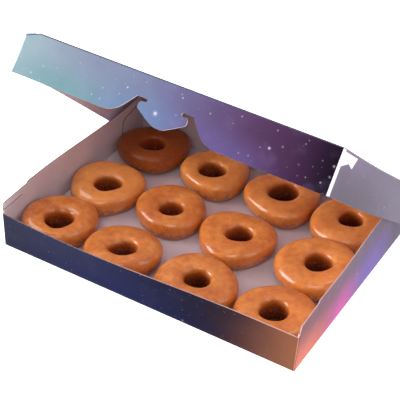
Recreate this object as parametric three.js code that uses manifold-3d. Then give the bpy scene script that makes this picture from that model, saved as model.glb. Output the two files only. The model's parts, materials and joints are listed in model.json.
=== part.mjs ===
// A dozen glazed ring doughnuts in their carton: a shallow tray, and a hinged lid with a tuck tongue.
// Millimetres, +Z up. The origin is the middle of the tray's underside and the front wall faces -Y.
import * as THREE from 'three';
import { mergeVertices } from 'three/addons/utils/BufferGeometryUtils.js';
import Module from 'manifold-3d';

const wasm = await Module();
wasm.setup();

// ---- driving dimensions -------------------------------------------------------------------------
const BOARD = 1.2; // thickness of the folding boxboard
const WIDTH = 360; // tray, outside, left to right
const DEPTH = 272; // tray, outside, front to back
const FRONT_HEIGHT = 42.8; // front wall
const BACK_HEIGHT = 56.4;
const LEAN_POWER = 1.3; // a wall leans more and more towards its free top edge
const GAP = 0.3; // between pieces that touch

// Top edge of the side walls: distance from the front and height, with a step behind the corner fold.
const CORNER_FOLD = 44;
const SIDE_TOP = [
  [0, FRONT_HEIGHT],
  [3.2, 55.6],
  [CORNER_FOLD, 57.2],
  [46.5, 59.4],
  [75, 59.4],
  [200, 56.8],
  [DEPTH, BACK_HEIGHT],
];
const SIDE_HEIGHT = 59.4; // at the highest

// The front wall's top edge waves in and out: a lean of each end and two sine terms.
const FRONT_LEAN = 2.1;
const FRONT_LEAN_SKEW = 1.4;
const FRONT_WAVE = [-3.4, -2.5];

// The side walls lean out a little in front, and are pinched in where the lid's sides hold them.
const SIDE_FLARE = 0.6;
const FLARE_END = { left: 110, right: 60 };
const SIDE_PINCH = 5.2;
const PINCH_START = 75;
const PINCH_FULL = 215;
const PINCH_EASE = 228;
const PINCH_LEFT_AT_BACK = 0.3; // share of the pinch that is left at the back corner

// Corner tabs are glued to the inside of the side walls.
const TAB_THICKNESS = 0.7;
const FRONT_TAB = { length: 37, free: 48.6, corner: 47.4 };
const BACK_TAB = { length: 47, free: 42.5, corner: 46.8 };

// Lid. Its frame has the hinge line as origin, and it is described shut, then sprung and opened.
const HINGE_Y = DEPTH / 2 - 0.6;
const HINGE_Z = 57.2;
const HINGE_CLEARANCE = 0.4;
const LID_WIDTH = 364.4;
const LID_LENGTH = 277.6; // hinge line to the outside of the front panel
const LID_FRONT_HEIGHT = 46.8; // front panel, from the lid's top face
const FOLD_STEP = 0.1; // how far a panel stands back from the panel it is folded from
// The side panels' heights in front and at the hinge. Between them the height changes evenly, from the
// distance taperEnd to the hinge.
const LID_SIDES = {
  left: { frontHeight: 45, hingeHeight: 54, taperEnd: 190 },
  right: { frontHeight: 46.2, hingeHeight: 44.5, taperEnd: LID_LENGTH },
};
const OPEN_ANGLE = THREE.MathUtils.degToRad(41.1);
const TWIST = THREE.MathUtils.degToRad(1.6); // how much lower the right end of the front edge lies
const SAG = 1.8; // of the right side, half way between the hinge and the front

// The lid's left front corner is crushed down, and pushed in over its last few millimetres.
const DENT_DEPTH = 6;
const DENT_REACH = 20;
const CORNER_PUSH = { bottom: 2.8, top: 4.3 };
const CORNER_PUSH_REACH = 5.4;

// Tuck tongue in the middle of the lid's front panel, with a notch and a hook slot on each side.
const TONGUE_CENTRE = -1.8;
const NOTCH_HALF_WIDTH = 57;
const NOTCH_ROUNDING = 9;
const NOTCH_LOW = { x: 47, down: 41.4 };
const NOTCH_HIGH = { x: 32, down: 25 };
const SLOT_INNER_END = 20.5;
const SLOT_HEIGHT = 3.6;
const HOOK_HALF_WIDTH = 28;
const HOOK_HEIGHT = 7.5;
const TONGUE_TIP_HALF_WIDTH = 5.5;
const TONGUE_SHOULDER = { x: 17, down: 40.6 };

// Doughnuts: [x, y], [outer radius, height], [tilt about X, about Y] in degrees, [x, y, radius] of the
// hole from the ring's middle, and in percent of the outer radius how the outline leaves a circle:
// [cosine, sine] of twice the angle, then of three times the angle.
const DOUGHNUTS = {
  front: [
    [[-139.5, -88.5], [41.6, 28.1], [-1.9, 3.8], [3.6, -6.8, 14.7], [[-3.3, 5.6], [-1.2, 0.5]]],
    [[-53.2, -92.9], [42.5, 26], [-5.9, -2.8], [4.8, -5.1, 14.2], [[1.2, 1.8], [1.2, 1.8]]],
    [[40, -92.9], [43.6, 26], [2.1, 0.8], [1.4, 0.3, 12.7], [[5, 2.5], [3, -1.3]]],
    [[134.1, -92], [43.5, 27.1], [-0.8, -1], [-1.5, -1.8, 14.3], [[1.3, 1.8], [-2.1, 0.8]]],
  ],
  middle: [
    [[-135.2, -4.1], [43.9, 26.7], [0.3, -0.5], [4.2, -4, 14.4], [[-0.9, 0.5], [-0.9, 4.4]]],
    [[-49.2, -0.8], [40.6, 26.3], [0.6, 1], [4.3, -6.8, 12.1], [[2.4, -2.3], [-1.1, -0.9]]],
    [[38, -5.3], [43.1, 26.8], [-0.9, -0.7], [3.7, 0.2, 13.3], [[2, 0], [-2.1, 5.1]]],
    [[134.1, -2.9], [44.8, 28.7], [0.9, -2.7], [3.5, -1.3, 14.1], [[0.2, 0.9], [-2.3, 0.2]]],
  ],
  back: [
    [[-131.8, 91], [42.8, 26.1], [-1, -2.6], [2.1, -6.2, 13.8], [[1, 3.7], [-5.6, -2.7]]],
    [[-43.4, 87.6], [41.6, 25.7], [1.1, -1.7], [-1.1, -5.9, 14.8], [[-0.4, -0.7], [-4.5, -3.2]]],
    [[45.9, 88.1], [43.5, 26], [1.8, -0.4], [0, 0.8, 16], [[1.5, 1.4], [-6.6, -1.9]]],
    [[130.9, 83.3], [42.8, 27.5], [3.1, -0.3], [2.2, 0.7, 12.1], [[-1, 0.9], [0.7, -1.9]]],
  ],
};
const FLAT_SHARE = 0.92; // the underside is flat below this share of the half height
const RING_STEPS = 32;
const TUBE_STEPS = 12;
// Fullness of the section, 2 for an ellipse: the side of the hole is fuller than the outer side.
const HOLE_FULLNESS = 4.5;
const OUTER_FULLNESS = 2.6;
const HOLE_NARROWING = 0.15; // share by which the hole is narrower at the floor than in its upper half
const HEIGHT_WAVES = [[1, 0.02], [2, 0.02], [4, 0.01]]; // count, share of the height
const HOLE_WAVES = [[2, 0.05], [3, 0.03]]; // count, share of the hole's radius
const WALL_ROOM = 2.5; // kept between a doughnut and the board beside it

// ---- materials ----------------------------------------------------------------------------------
const printedBoard = new THREE.MeshStandardMaterial({ color: 0x3c4275, roughness: 0.42, metalness: 0 });
const printedLid = new THREE.MeshStandardMaterial({ color: 0x6f5f9c, roughness: 0.42, metalness: 0 });
const glazedDough = new THREE.MeshStandardMaterial({ color: 0xc27a3e, roughness: 0.3, metalness: 0 });

// ---- small helpers ------------------------------------------------------------------------------
const lerp = THREE.MathUtils.lerp;
const clamp = THREE.MathUtils.clamp;
const smoothstep = THREE.MathUtils.smoothstep;

/** Evenly spaced values from a to b, both included. */
function steps(a, b, count) {
  return Array.from({ length: count + 1 }, (_, i) => lerp(a, b, i / count));
}

/** Repeatable number from 0 to 1 for each pair of indices. */
function chance(a, b) {
  const value = Math.sin(a * 12.9898 + b * 78.233 + 1.7) * 43758.5453;
  return value - Math.floor(value);
}

/** Signed volume of a closed triangle mesh. */
function signedVolume(geometry) {
  const position = geometry.attributes.position;
  const corner = (k) => new THREE.Vector3().fromBufferAttribute(position, geometry.index.getX(k));
  let volume = 0;
  for (let k = 0; k < geometry.index.count; k += 3) {
    volume += corner(k).dot(corner(k + 1).cross(corner(k + 2))) / 6;
  }
  return volume;
}

/** Indexed geometry from points and triangles, turned so that its faces point out. */
function closedGeometry(points, triangles) {
  const geometry = new THREE.BufferGeometry();
  geometry.setAttribute('position', new THREE.Float32BufferAttribute(points.flat(), 3));
  geometry.setIndex(triangles.flat());
  if (signedVolume(geometry) < 0) {
    geometry.setIndex(triangles.map(([a, b, c]) => [a, c, b]).flat());
  }
  return geometry;
}

/** Moves every vertex of a geometry by a function of its place. */
function reshape(geometry, move) {
  const position = geometry.attributes.position;
  for (let i = 0; i < position.count; i += 1) {
    position.setXYZ(i, ...move(position.getX(i), position.getY(i), position.getZ(i)));
  }
  return geometry;
}

/** A bent board: two faces over the stations us x vs, closed along the border. */
function bentBoard(us, vs, place) {
  const columns = vs.length;
  const faceSize = us.length * columns;
  const points = [0, 1].flatMap((face) => us.flatMap((u) => vs.map((v) => place(u, v, face))));
  const at = (face, i, j) => face * faceSize + i * columns + j;
  const triangles = [];
  const quad = (a, b, c, d) => triangles.push([a, b, c], [a, c, d]);
  for (let i = 0; i < us.length - 1; i += 1) {
    for (let j = 0; j < columns - 1; j += 1) {
      quad(at(0, i, j), at(0, i + 1, j), at(0, i + 1, j + 1), at(0, i, j + 1));
      quad(at(1, i, j), at(1, i, j + 1), at(1, i + 1, j + 1), at(1, i + 1, j));
    }
    quad(at(0, i, 0), at(1, i, 0), at(1, i + 1, 0), at(0, i + 1, 0));
    const j = columns - 1;
    quad(at(0, i, j), at(0, i + 1, j), at(1, i + 1, j), at(1, i, j));
  }
  const last = us.length - 1;
  for (let j = 0; j < columns - 1; j += 1) {
    quad(at(0, 0, j), at(0, 0, j + 1), at(1, 0, j + 1), at(1, 0, j));
    quad(at(0, last, j), at(1, last, j), at(1, last, j + 1), at(0, last, j + 1));
  }
  return closedGeometry(points, triangles);
}

/** The solid of a closed geometry, for joining. */
function solidOf(geometry) {
  const bare = geometry.clone();
  bare.deleteAttribute('normal');
  bare.deleteAttribute('uv');
  const merged = mergeVertices(bare, 1e-4);
  return new wasm.Manifold(
    new wasm.Mesh({
      numProp: 3,
      vertProperties: new Float32Array(merged.attributes.position.array),
      triVerts: new Uint32Array(merged.index.array),
    }),
  );
}

/** One geometry from overlapping closed geometries. */
function joined(geometries) {
  const solid = geometries.map(solidOf).reduce((sum, next) => sum.add(next));
  const mesh = solid.getMesh();
  const geometry = new THREE.BufferGeometry();
  geometry.setAttribute('position', new THREE.BufferAttribute(new Float32Array(mesh.vertProperties), 3));
  geometry.setIndex(new THREE.BufferAttribute(new Uint32Array(mesh.triVerts), 1));
  return geometry;
}

function namedMesh(name, geometry, material) {
  geometry.computeVertexNormals();
  const mesh = new THREE.Mesh(geometry, material);
  mesh.name = name;
  return mesh;
}

// ---- tray ---------------------------------------------------------------------------------------
const leanAt = (z, height) => Math.max(z, 0) ** LEAN_POWER / height ** LEAN_POWER;

/** How far the top of the front wall stands in (+) or out (-) at x. */
function frontWave(x) {
  const t = x / WIDTH + 0.5;
  const ends = FRONT_LEAN + FRONT_LEAN_SKEW * (2 * t - 1);
  return FRONT_WAVE.reduce((sum, size, i) => sum + size * Math.sin((i + 1) * Math.PI * t), ends);
}

/** How far the top of a side wall stands in (+) or out (-), at a distance from the front. */
function sideLean(side, fromFront) {
  const pinch = SIDE_PINCH * smoothstep(fromFront, PINCH_START, PINCH_FULL);
  const ease = lerp(1, PINCH_LEFT_AT_BACK, smoothstep(fromFront, PINCH_EASE, DEPTH));
  const flareEnd = side < 0 ? FLARE_END.left : FLARE_END.right;
  return pinch * ease - SIDE_FLARE * (1 - smoothstep(fromFront, 0, flareEnd));
}

/** Height of a side wall's top edge, at a distance from the front. */
function sideTop(fromFront) {
  const next = SIDE_TOP.findIndex(([distance]) => distance >= fromFront);
  const [end, endHeight] = SIDE_TOP[next];
  const [start, startHeight] = SIDE_TOP[Math.max(0, next - 1)];
  return end === start ? endHeight : lerp(startHeight, endHeight, (fromFront - start) / (end - start));
}

/** A point of a side wall, its depth counted inwards from the wall's outer face. */
function sidePoint(side, fromFront, z, depth) {
  const x = WIDTH / 2 - sideLean(side, fromFront) * leanAt(z, SIDE_HEIGHT) - depth;
  const held = Math.max(0, 1 - fromFront / CORNER_FOLD);
  const shift = frontWave((side * WIDTH) / 2) * leanAt(z, FRONT_HEIGHT) * held;
  return [side * x, fromFront + shift - DEPTH / 2, z];
}

function sideWall(side) {
  const corners = SIDE_TOP.map(([distance]) => distance);
  const between = [...steps(CORNER_FOLD / 4, (CORNER_FOLD * 3) / 4, 2), ...steps(86, 264, 15)];
  const stations = [...corners, ...between].sort((a, b) => a - b);
  return bentBoard(stations, steps(0, 1, 4), (fromFront, v, face) => {
    return sidePoint(side, fromFront, v * sideTop(fromFront), face * BOARD);
  });
}

function frontWall() {
  return bentBoard(steps(-WIDTH / 2, WIDTH / 2, 26), steps(0, 1, 3), (x, v, face) => {
    const z = v * FRONT_HEIGHT;
    return [x, frontWave(x) * leanAt(z, FRONT_HEIGHT) + face * BOARD - DEPTH / 2, z];
  });
}

function backWall() {
  return bentBoard([-1, 1], steps(0, 1, 4), (side, v, face) => {
    const z = v * BACK_HEIGHT;
    const halfWidth = WIDTH / 2 - sideLean(side, DEPTH) * leanAt(z, SIDE_HEIGHT);
    return [side * halfWidth, DEPTH / 2 - face * BOARD, z];
  });
}

/** A glued corner tab on the inside of a side wall, from the end wall to its free end. */
function cornerTab(side, tab, fromFront, free) {
  return bentBoard(steps(fromFront, free, 4), steps(0, 1, 4), (u, v, face) => {
    const top = lerp(tab.corner, tab.free, (u - fromFront) / (free - fromFront));
    const depth = face === 0 ? BOARD / 2 : BOARD + TAB_THICKNESS;
    return sidePoint(side, u, v * top, depth);
  });
}

function trayGeometry() {
  const floor = new THREE.BoxGeometry(WIDTH, DEPTH, BOARD).translate(0, 0, BOARD / 2);
  const sides = [-1, 1].flatMap((side) => [
    sideWall(side),
    cornerTab(side, FRONT_TAB, BOARD / 2, FRONT_TAB.length),
    cornerTab(side, BACK_TAB, DEPTH - BOARD / 2, DEPTH - BACK_TAB.length),
  ]);
  return joined([floor, frontWall(), backWall(), ...sides]);
}

// ---- lid ----------------------------------------------------------------------------------------
/** The spring of the board: the crushed corner, the sag of the right side and the twist about the hinge. */
function sprung(x, y, z) {
  const nearSide = Math.max(0, 1 - (x + LID_WIDTH / 2) / DENT_REACH);
  const nearFront = Math.max(0, 1 - (y + LID_LENGTH) / DENT_REACH);
  const nearTop = Math.max(0, Math.min(1, 1 + z / LID_FRONT_HEIGHT));
  const push = lerp(CORNER_PUSH.bottom, CORNER_PUSH.top, Math.min(1, 2.5 * nearTop));
  const pushed = x + push * nearSide * Math.max(0, 1 - (y + LID_LENGTH) / CORNER_PUSH_REACH);
  const toRight = x / WIDTH + 0.5;
  const sag = SAG * toRight * Math.sin((Math.PI * clamp(-y, 0, LID_LENGTH)) / LID_LENGTH);
  const lowered = z - DENT_DEPTH * nearSide * nearFront * nearTop - sag;
  const angle = TWIST * toRight;
  return [
    pushed,
    y * Math.cos(angle) - lowered * Math.sin(angle),
    y * Math.sin(angle) + lowered * Math.cos(angle),
  ];
}

const lidTop = HINGE_CLEARANCE + BOARD;

/** Places from the front edge to the hinge, close together at the crushed corner. */
function lidStations(count) {
  const atDent = [CORNER_PUSH_REACH, DENT_REACH / 2, DENT_REACH].map((distance) => distance - LID_LENGTH);
  return [-LID_LENGTH, ...atDent, ...steps(-240, -HINGE_CLEARANCE, count)];
}

function topPanel() {
  const dentStations = steps(-LID_WIDTH / 2, DENT_REACH - LID_WIDTH / 2, 4);
  const xs = [...dentStations, ...steps(-150, LID_WIDTH / 2, 8)];
  return bentBoard(xs, lidStations(6), (x, y, face) => sprung(x, y, lidTop - face * BOARD));
}

function lidSidePanel(side) {
  const { frontHeight, hingeHeight, taperEnd } = side < 0 ? LID_SIDES.left : LID_SIDES.right;
  const stations = [...lidStations(8), -taperEnd].sort((a, b) => a - b);
  const distinct = stations.filter((y, i) => i === 0 || y - stations[i - 1] > GAP);
  return bentBoard(distinct, steps(0, 1, 3), (y, v, face) => {
    const height = lerp(hingeHeight, frontHeight, Math.min(1, -y / taperEnd));
    const z = lidTop - lerp(BOARD / 2, height, v);
    return sprung(side * (LID_WIDTH / 2 - FOLD_STEP - face * BOARD), y, z);
  });
}

/** Half of the lower outline of the front panel, from the panel's corner in to the tongue's tip. */
function tongueSide(path, side, forwards) {
  const x = (value) => TONGUE_CENTRE + side * value;
  const slotTop = NOTCH_HIGH.down - SLOT_HEIGHT / 2;
  const slotBottom = slotTop + SLOT_HEIGHT;
  const outline = [
    [x(NOTCH_HALF_WIDTH), LID_FRONT_HEIGHT],
    [x(NOTCH_HALF_WIDTH - NOTCH_ROUNDING * 0.6), LID_FRONT_HEIGHT - 1],
    [x(NOTCH_LOW.x), NOTCH_LOW.down],
    [x(NOTCH_HIGH.x), slotTop],
    [x(SLOT_INNER_END), slotTop],
    [x(SLOT_INNER_END - 1), (slotTop + slotBottom) / 2],
    [x(SLOT_INNER_END), slotBottom],
    [x(HOOK_HALF_WIDTH - 2), slotBottom],
    [x(HOOK_HALF_WIDTH), slotBottom + 2],
    [x(HOOK_HALF_WIDTH), slotBottom + HOOK_HEIGHT - 1],
    [x(HOOK_HALF_WIDTH - 1.5), slotBottom + HOOK_HEIGHT],
    [x(TONGUE_SHOULDER.x), TONGUE_SHOULDER.down],
    [x(TONGUE_TIP_HALF_WIDTH), LID_FRONT_HEIGHT],
  ];
  const ordered = forwards ? outline : outline.reverse();
  ordered.forEach(([px, down]) => path.lineTo(px, -down));
}

function frontPanel() {
  const half = (LID_WIDTH - BOARD) / 2;
  const top = -BOARD / 2;
  const shape = new THREE.Shape();
  shape.moveTo(-half, top);
  shape.lineTo(-half, -LID_FRONT_HEIGHT);
  tongueSide(shape, -1, true);
  tongueSide(shape, 1, false);
  shape.lineTo(half, -LID_FRONT_HEIGHT);
  shape.lineTo(half, top);
  steps(DENT_REACH - half, DENT_REACH / 4 - half, 3).forEach((x) => shape.lineTo(x, top));
  const panel = new THREE.ExtrudeGeometry(shape, { depth: BOARD, bevelEnabled: false, steps: 1 });
  panel.rotateX(Math.PI / 2);
  panel.translate(0, BOARD + FOLD_STEP - LID_LENGTH, lidTop);
  return reshape(panel, sprung);
}

function lidGeometry() {
  return joined([topPanel(), frontPanel(), lidSidePanel(-1), lidSidePanel(1)]);
}

// ---- doughnuts ----------------------------------------------------------------------------------
/** One plus a sum of seeded waves round the ring. */
function uneven(waves, angle, seed, channel) {
  return waves.reduce((sum, [count, size], i) => {
    const phase = 2 * Math.PI * chance(seed, channel + i);
    return sum + size * Math.cos(count * angle + phase);
  }, 1);
}

/** A number's power with the number's own sign. */
const signedPower = (value, power) => Math.sign(value) * Math.abs(value) ** power;

/** One plus the waves of a doughnut's outline. */
function outlineAt(outline, angle) {
  return outline.reduce((sum, [cosine, sine], i) => {
    const turns = (i + 2) * angle;
    return sum + (cosine * Math.cos(turns) + sine * Math.sin(turns)) / 100;
  }, 1);
}

/** The ring of doughnut number seed, lying flat round the origin. */
function ringGeometry([, [outerRadius, height], , [holeX, holeY, holeRadius], outline], seed) {
  const points = [];
  for (let i = 0; i < RING_STEPS; i += 1) {
    const angle = (2 * Math.PI * i) / RING_STEPS;
    const outer = outerRadius * outlineAt(outline, angle);
    const hole = holeRadius * uneven(HOLE_WAVES, angle, seed, 10);
    const halfHeight = (height / 2) * uneven(HEIGHT_WAVES, angle, seed, 20);
    for (let j = 0; j < TUBE_STEPS; j += 1) {
      const turn = (2 * Math.PI * j) / TUBE_STEPS;
      const power = 2 / (Math.cos(turn) < 0 ? HOLE_FULLNESS : OUTER_FULLNESS);
      const outwards = (1 + signedPower(Math.cos(turn), power)) / 2;
      const level = signedPower(Math.sin(turn), power);
      const inner = hole * (1 - HOLE_NARROWING * Math.max(0, -level));
      const x = lerp(holeX + inner * Math.cos(angle), outer * Math.cos(angle), outwards);
      const y = lerp(holeY + inner * Math.sin(angle), outer * Math.sin(angle), outwards);
      points.push([x, y, Math.max(halfHeight * level, -FLAT_SHARE * (height / 2))]);
    }
  }
  const at = (i, j) => (i % RING_STEPS) * TUBE_STEPS + (j % TUBE_STEPS);
  const triangles = [];
  for (let i = 0; i < RING_STEPS; i += 1) {
    for (let j = 0; j < TUBE_STEPS; j += 1) {
      triangles.push([at(i, j), at(i + 1, j), at(i + 1, j + 1)]);
      triangles.push([at(i, j), at(i + 1, j + 1), at(i, j + 1)]);
    }
  }
  return closedGeometry(points, triangles);
}

/** The flat presses on one doughnut: unit direction and distance of each plane from its centre. */
function pressesOn(own, all) {
  const [[x, y], [radius, height]] = own;
  const wallLean = Math.max(0, frontWave(x)) * leanAt(height, FRONT_HEIGHT);
  const presses = [
    { nx: 0, ny: -1, reach: y + DEPTH / 2 - BOARD - WALL_ROOM - wallLean },
    { nx: 0, ny: 1, reach: DEPTH / 2 - BOARD - WALL_ROOM - y },
    { nx: Math.sign(x), ny: 0, reach: WIDTH / 2 - BOARD - WALL_ROOM - Math.abs(x) },
  ];
  all.forEach((other) => {
    const [[otherX, otherY], [otherRadius]] = other;
    const apart = Math.hypot(otherX - x, otherY - y);
    if (other === own || apart > radius + otherRadius + WALL_ROOM) {
      return;
    }
    const reach = (apart * radius) / (radius + otherRadius) - GAP;
    presses.push({ nx: (otherX - x) / apart, ny: (otherY - y) / apart, reach });
  });
  return presses;
}

function doughnutGeometry(own, seed, all) {
  const [[x, y], , [tiltX, tiltY]] = own;
  const tilt = new THREE.Euler(THREE.MathUtils.degToRad(tiltX), THREE.MathUtils.degToRad(tiltY), 0, 'YXZ');
  const geometry = ringGeometry(own, seed);
  geometry.applyMatrix4(new THREE.Matrix4().makeRotationFromEuler(tilt));
  const presses = pressesOn(own, all);
  reshape(geometry, (px, py, pz) => {
    const place = [px, py];
    presses.forEach(({ nx, ny, reach }) => {
      const over = Math.max(0, place[0] * nx + place[1] * ny - reach);
      place[0] -= over * nx;
      place[1] -= over * ny;
    });
    return [...place, pz];
  });
  geometry.computeBoundingBox();
  return geometry.translate(x, y, BOARD + GAP - geometry.boundingBox.min.z);
}

// ---- assembly -----------------------------------------------------------------------------------
const box = new THREE.Group();
box.add(namedMesh('tray', trayGeometry(), printedBoard));

const lid = new THREE.Group();
lid.position.set(0, HINGE_Y, HINGE_Z);
lid.rotation.x = -OPEN_ANGLE;
lid.add(namedMesh('lid', lidGeometry(), printedLid));
box.add(lid);

const allDoughnuts = Object.values(DOUGHNUTS).flat();
let seed = 0;
Object.entries(DOUGHNUTS).forEach(([row, places]) => {
  places.forEach((own, column) => {
    seed += 1;
    const geometry = doughnutGeometry(own, seed, allDoughnuts);
    box.add(namedMesh(`doughnut_${row}_${column + 1}`, geometry, glazedDough));
  });
});

export default box;
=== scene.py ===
"""Looks of the open carton of glazed ring doughnuts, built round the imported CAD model.

Sizes are in millimetres in this file and are turned to metres when a mesh is made.
Colours are screen colours from 0 to 255 and are turned to linear ones by colour().
The carton's frame: +Z up, the tray's front wall faces -Y, the origin is under the tray's middle.
"""

import json
import math

import bmesh
import bpy
import numpy as np
from mathutils import Matrix, Vector, noise
from mathutils.geometry import delaunay_2d_cdt


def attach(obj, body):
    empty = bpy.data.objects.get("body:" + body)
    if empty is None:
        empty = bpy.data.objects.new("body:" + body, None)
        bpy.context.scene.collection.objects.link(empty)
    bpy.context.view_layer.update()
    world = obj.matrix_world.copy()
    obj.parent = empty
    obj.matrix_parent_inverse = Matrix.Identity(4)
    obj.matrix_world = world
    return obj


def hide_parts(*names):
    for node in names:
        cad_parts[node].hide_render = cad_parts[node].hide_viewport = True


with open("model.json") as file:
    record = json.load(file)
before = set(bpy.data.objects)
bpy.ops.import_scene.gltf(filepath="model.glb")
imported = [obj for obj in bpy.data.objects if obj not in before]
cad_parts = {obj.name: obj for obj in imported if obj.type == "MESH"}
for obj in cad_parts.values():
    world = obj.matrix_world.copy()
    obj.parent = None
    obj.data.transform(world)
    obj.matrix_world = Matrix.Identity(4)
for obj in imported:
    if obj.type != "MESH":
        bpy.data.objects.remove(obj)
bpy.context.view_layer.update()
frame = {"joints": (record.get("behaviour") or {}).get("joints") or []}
MM = 0.001
LEFT, RIGHT = -1, 1

# ---- tray, with the sizes of the part's source ----
BOARD = 1.2
GAP = 0.3  # between pieces that touch
WIDTH, DEPTH = 360.0, 272.0
FRONT_HEIGHT = 42.8
BACK_HEIGHT = 56.4
SIDE_HEIGHT = 59.4  # at the highest
CORNER_FOLD = 44.0
# distance from the front and height, along a side wall's top edge
SIDE_TOP = [(0, FRONT_HEIGHT), (3.2, 55.6), (CORNER_FOLD, 57.2), (46.5, SIDE_HEIGHT), (75, SIDE_HEIGHT)]
SIDE_TOP += [(200, 56.8), (DEPTH, BACK_HEIGHT)]
LEAN_POWER = 1.3  # a wall leans more and more towards its free top edge
FRONT_LEAN, FRONT_LEAN_SKEW = 2.1, 1.4
FRONT_WAVE = (-3.4, -2.5)  # of half a wave and of a whole wave along the front wall
SIDE_FLARE = 0.6
FLARE_END = {LEFT: 110.0, RIGHT: 60.0}
SIDE_PINCH = 5.2
PINCH_START, PINCH_FULL, PINCH_EASE = 75.0, 215.0, 228.0
PINCH_LEFT_AT_BACK = 0.3  # share of the pinch that is left at the back corner
TAB_THICKNESS = 0.7
FRONT_TAB = {"length": 37.0, "free": 48.6, "corner": 47.4}  # height at the free end and in the corner
BACK_TAB = {"length": 47.0, "free": 42.5, "corner": 46.8}

# ---- tray, what only this script has ----
CORNER_RADIUS, CORNER_STEPS = 1.0, 4
CORNER_BLEND = (165.0, 179.0)  # |x| where the front wall begins to follow the side wall, and does
FRONT_STATIONS, SIDE_STATIONS, WALL_ROWS = 91, 56, 12
SIDE_EVEN_START = 54.0  # stations along a side wall are even from here to the back
RIM_BEVEL = 0.25
FOOT_ROUNDING = [(1.0, 0.0), (0.45, 0.12), (0.12, 0.45), (0.0, 1.0)]  # depth and height
TAB_ROOT = 0.6  # share of the wall's thickness where a tab starts, so that they join
TAB_START = 0.6  # from the corner
TAB_FOOT = 0.02  # a tab starts at this share of its height
TAB_END_SHARE, TAB_END_ROUNDING = 0.14, 4.0
TAB_STATIONS, FLOOR_STATIONS = (18, 10), (60, 46)
FLOOR_MARGIN = 1.0
FLOOR_RISE, FLOOR_RISE_EDGE = 0.25, 30.0
FLOOR_WAVE_X, FLOOR_WAVE_Y = 61.0, 47.0  # length of a wave, divided by two pi
HOLE_SHADE_REACH = 22.0  # the floor gets painted shade this far round each hole's middle
BEAD_RADIUS, BEAD_DROP, BEAD_END_ROOM = 0.6, 1.4, 1.8  # of the fold bead on the back wall
BEAD_ARC_POINTS, BEAD_STATIONS = 9, 40

# ---- lid, with the sizes of the part's source ----
HINGE_Y, HINGE_Z = (value / MM for value in frame["joints"][0]["pos_m"][1:])
HINGE_CLEARANCE = 0.4
LID_WIDTH = 364.4
LID_LENGTH = 277.6  # hinge line to the outside of the front panel
LID_TOP = HINGE_CLEARANCE + BOARD  # of the closed lid, above the hinge line
LID_FRONT_HEIGHT = 46.8  # from the lid's top face
# height in front, height at the hinge and how far from the hinge it tapers
LID_SIDES = {LEFT: (45.0, 54.0, 190.0), RIGHT: (46.2, 44.5, LID_LENGTH)}
FOLD_STEP = 0.1  # how far a panel stands back from the panel it is folded from
OPEN_ANGLE = math.radians(41.1)
TWIST = math.radians(1.6)  # how much lower the right end of the front edge lies
SAG = 1.8  # of the right side, half way between the hinge and the front
DENT_DEPTH, DENT_REACH = 6.0, 20.0
CORNER_PUSH = (2.8, 4.3)  # at the bottom and at the top
CORNER_PUSH_REACH, CORNER_PUSH_GROWTH = 5.4, 2.5
TONGUE_CENTRE = -1.8
TONGUE_TIP_HALF_WIDTH = 5.5
TONGUE_SHOULDER = (17.0, 40.6)  # half width and distance down, as for a notch's top
NOTCH_HIGH = (32.0, 25.0)
NOTCH_MOUTH = 52.0  # half width where the two notches meet the lower edge
SLOT_INNER_END = 20.5
SLOT_HEIGHT = 3.6
HOOK_HALF_WIDTH, HOOK_HEIGHT = 28.0, 7.5

# ---- lid, what only this script has ----
FINE_FROM_FRONT = (0, 1.5, 3.2, CORNER_PUSH_REACH, 8, 11, 14, 17, DENT_REACH)
FINE_FROM_LEFT = (0, 2.5, 5, 8, 11, 14, 17, DENT_REACH)
EVEN_FROM_Y, EVEN_FROM_X = -250.0, -156.0  # stations on the lid are even from here
LID_TOP_STATIONS, LID_SIDE_STATIONS = (60, 50), (56, 14)
ROUNDING_STEPS, ROUNDING_LIMIT = 5, 0.45  # the limit is a share of the side next to a corner
PANEL_GRID_START, PANEL_GRID_STEP, PANEL_EDGE_STEP = (-178.2, -42.3), (6.0, 5.0), 4.0
TOLERANCE = 0.01

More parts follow.
